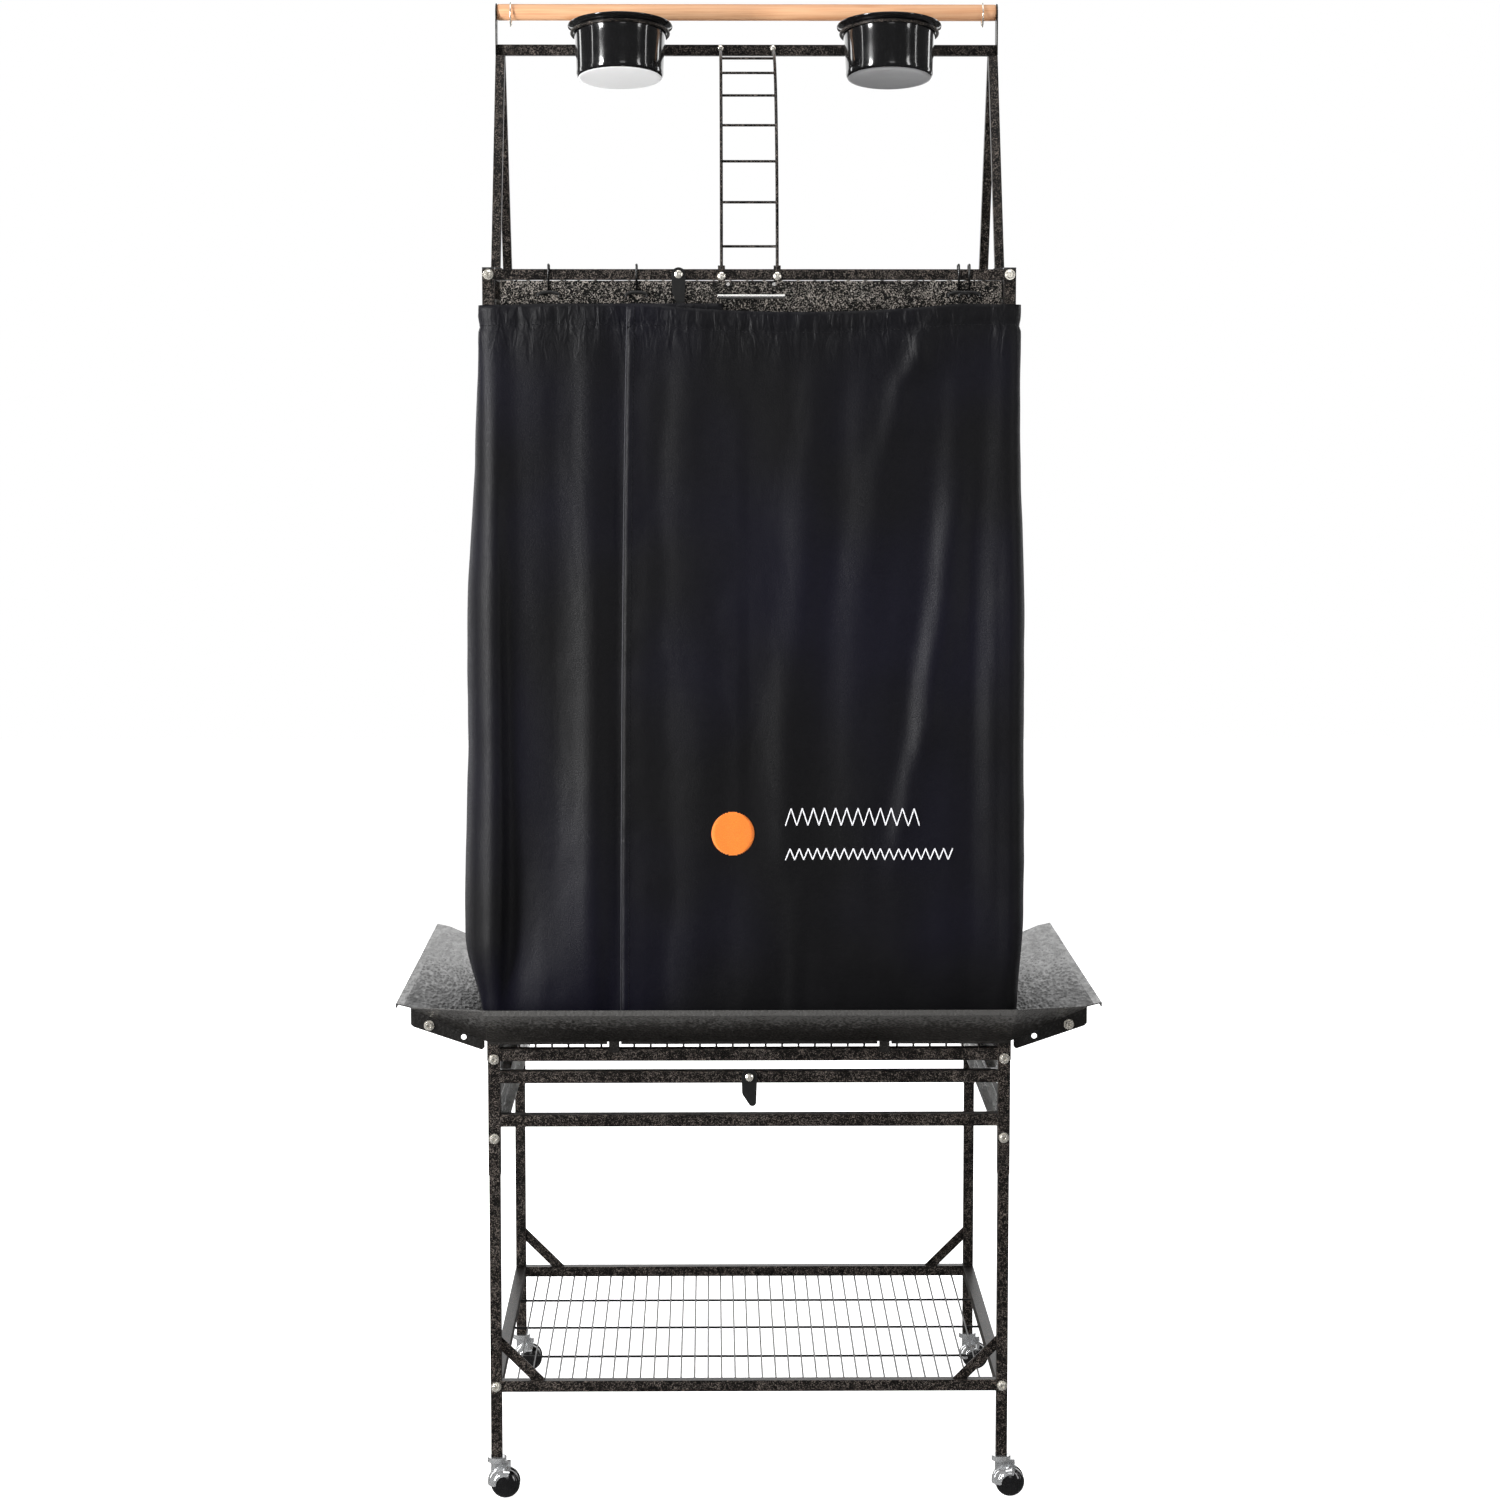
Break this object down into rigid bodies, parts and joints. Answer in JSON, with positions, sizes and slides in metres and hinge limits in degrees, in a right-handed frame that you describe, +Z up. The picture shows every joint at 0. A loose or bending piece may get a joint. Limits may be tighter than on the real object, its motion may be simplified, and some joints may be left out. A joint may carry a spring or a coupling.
{
  "type": "bird cage on stand",
  "caption": "Tall rolling bird cage with a play top, seed guard, wire shelf and a dark cloth cover hooked over its walls.",
  "frame": {"origin": "on the floor under the middle of the cage", "axes": "+X to the right, +Y to the back, +Z up; the ladder and the latches face -Y"},
  "size_m": [0.8164, 0.7244, 1.7515],
  "materials": {
    "frame_paint": "hammertone",
    "bolt_nickel": "satin nickel plate",
    "guide_zinc": "zinc plated",
    "handle_steel": "satin white",
    "cup_steel": "polished",
    "cap_plastic": "matte",
    "bowl_plastic": "gloss",
    "perch_wood": "bare dowel",
    "cover_cloth": "satin weave",
    "caster_chrome": "bright",
    "wheel_plastic": "gloss"
  },
  "bodies": {
    "cage_frame": {"post_front_left": "frame_paint", "post_front_right": "frame_paint", "post_rear_left": "frame_paint", "post_rear_right": "frame_paint", "post_caps": "cap_plastic", "stand_legs": "frame_paint", "top_rails": "frame_paint", "grate_rails": "frame_paint", "slot_rails": "frame_paint", "tray_rails": "frame_paint", "tray_guides": "guide_zinc", "shelf_frame": "frame_paint", "shelf_mesh": "guide_zinc", "shelf_braces": "frame_paint", "frame_bolts": "bolt_nickel", "seed_guard_left": "frame_paint", "seed_guard_right": "frame_paint", "seed_guard_front": "frame_paint", "seed_guard_rear": "frame_paint", "top_grille": "frame_paint", "top_tray": "frame_paint", "top_tray_guides": "guide_zinc", "tray_handle": "handle_steel", "a_frame_left": "frame_paint", "a_frame_right": "frame_paint", "apex_bar": "frame_paint", "end_plates": "frame_paint", "top_perch": "perch_wood", "perch_rings": "bolt_nickel", "ladder": "frame_paint", "ladder_bolts": "bolt_nickel", "bowl_holder_left": "frame_paint", "bowl_holder_right": "frame_paint", "latch_pivots": "bolt_nickel", "cover_hooks": "bolt_nickel", "cover": "cover_cloth", "wire_wall_front": "frame_paint", "wire_wall_rear": "frame_paint", "wire_wall_left": "frame_paint", "wire_wall_right": "frame_paint", "door_hinge_pins": "bolt_nickel", "inner_perches": "perch_wood", "cup_rings": "frame_paint", "caster_stems": "caster_chrome"},
    "latch_top": {"latch_top": "frame_paint"},
    "latch_low": {"latch_low": "frame_paint"},
    "bowl_left": {"bowl_left": "bowl_plastic"},
    "bowl_right": {"bowl_right": "bowl_plastic"},
    "door": {"cage_door": "frame_paint"},
    "door_latch": {"door_latch": "bolt_nickel"},
    "feed_cup_left": {"feed_cup_left": "cup_steel"},
    "feed_cup_right": {"feed_cup_right": "cup_steel"},
    "caster_front_left": {"caster_front_left": "caster_chrome"},
    "wheel_front_left": {"wheels_front_left": "wheel_plastic"},
    "caster_front_right": {"caster_front_right": "caster_chrome"},
    "wheel_front_right": {"wheels_front_right": "wheel_plastic"},
    "caster_rear_left": {"caster_rear_left": "caster_chrome"},
    "wheel_rear_left": {"wheels_rear_left": "wheel_plastic"},
    "caster_rear_right": {"caster_rear_right": "caster_chrome"},
    "wheel_rear_right": {"wheels_rear_right": "wheel_plastic"}
  },
  "joints": [
    {"name": "swivel_front_left", "type": "hinge", "parent": "cage_frame", "child": "caster_front_left", "pos_m": [-0.295, -0.273, 0.03], "axis": [0, 0, 1], "continuous": true},
    {"name": "roll_front_left", "type": "hinge", "parent": "caster_front_left", "child": "wheel_front_left", "pos_m": [-0.285, -0.273, 0.017], "axis": [0, 1, 0], "continuous": true},
    {"name": "swivel_front_right", "type": "hinge", "parent": "cage_frame", "child": "caster_front_right", "pos_m": [0.295, -0.273, 0.03], "axis": [0, 0, 1], "continuous": true},
    {"name": "roll_front_right", "type": "hinge", "parent": "caster_front_right", "child": "wheel_front_right", "pos_m": [0.305, -0.273, 0.017], "axis": [0, 1, 0], "continuous": true},
    {"name": "swivel_rear_left", "type": "hinge", "parent": "cage_frame", "child": "caster_rear_left", "pos_m": [-0.295, 0.273, 0.03], "axis": [0, 0, 1], "continuous": true},
    {"name": "roll_rear_left", "type": "hinge", "parent": "caster_rear_left", "child": "wheel_rear_left", "pos_m": [-0.285, 0.273, 0.017], "axis": [0, 1, 0], "continuous": true},
    {"name": "swivel_rear_right", "type": "hinge", "parent": "cage_frame", "child": "caster_rear_right", "pos_m": [0.295, 0.273, 0.03], "axis": [0, 0, 1], "continuous": true},
    {"name": "roll_rear_right", "type": "hinge", "parent": "caster_rear_right", "child": "wheel_rear_right", "pos_m": [0.305, 0.273, 0.017], "axis": [0, 1, 0], "continuous": true},
    {"name": "latch_top_turn", "type": "hinge", "parent": "cage_frame", "child": "latch_top", "pos_m": [-0.08, -0.281, 1.418], "axis": [0, 1, 0], "range_deg": [-95, 0]},
    {"name": "latch_low_turn", "type": "hinge", "parent": "cage_frame", "child": "latch_low", "pos_m": [0, -0.281, 0.498], "axis": [0, 1, 0], "range_deg": [-90, 90]},
    {"name": "bowl_lift_left", "type": "slide", "parent": "cage_frame", "child": "bowl_left", "axis": [0, 0.1822, 0.9833], "range_m": [0, 0.08]},
    {"name": "bowl_lift_right", "type": "slide", "parent": "cage_frame", "child": "bowl_right", "axis": [0, 0.1822, 0.9833], "range_m": [0, 0.08]},
    {"name": "door_swing", "type": "hinge", "parent": "cage_frame", "child": "door", "pos_m": [-0.1415, -0.28, 0.86], "axis": [0, 0, 1], "range_deg": [-100, 0], "deforming": ["cover"]},
    {"name": "door_latch_turn", "type": "hinge", "parent": "door", "child": "door_latch", "pos_m": [0.1365, -0.273, 0.86], "axis": [0, 1, 0], "range_deg": [0, 90]},
    {"name": "cup_lift_left", "type": "slide", "parent": "cage_frame", "child": "feed_cup_left", "axis": [0, 0, 1], "range_m": [0, 0.07]},
    {"name": "cup_lift_right", "type": "slide", "parent": "cage_frame", "child": "feed_cup_right", "axis": [0, 0, 1], "range_m": [0, 0.07]}
  ]
}
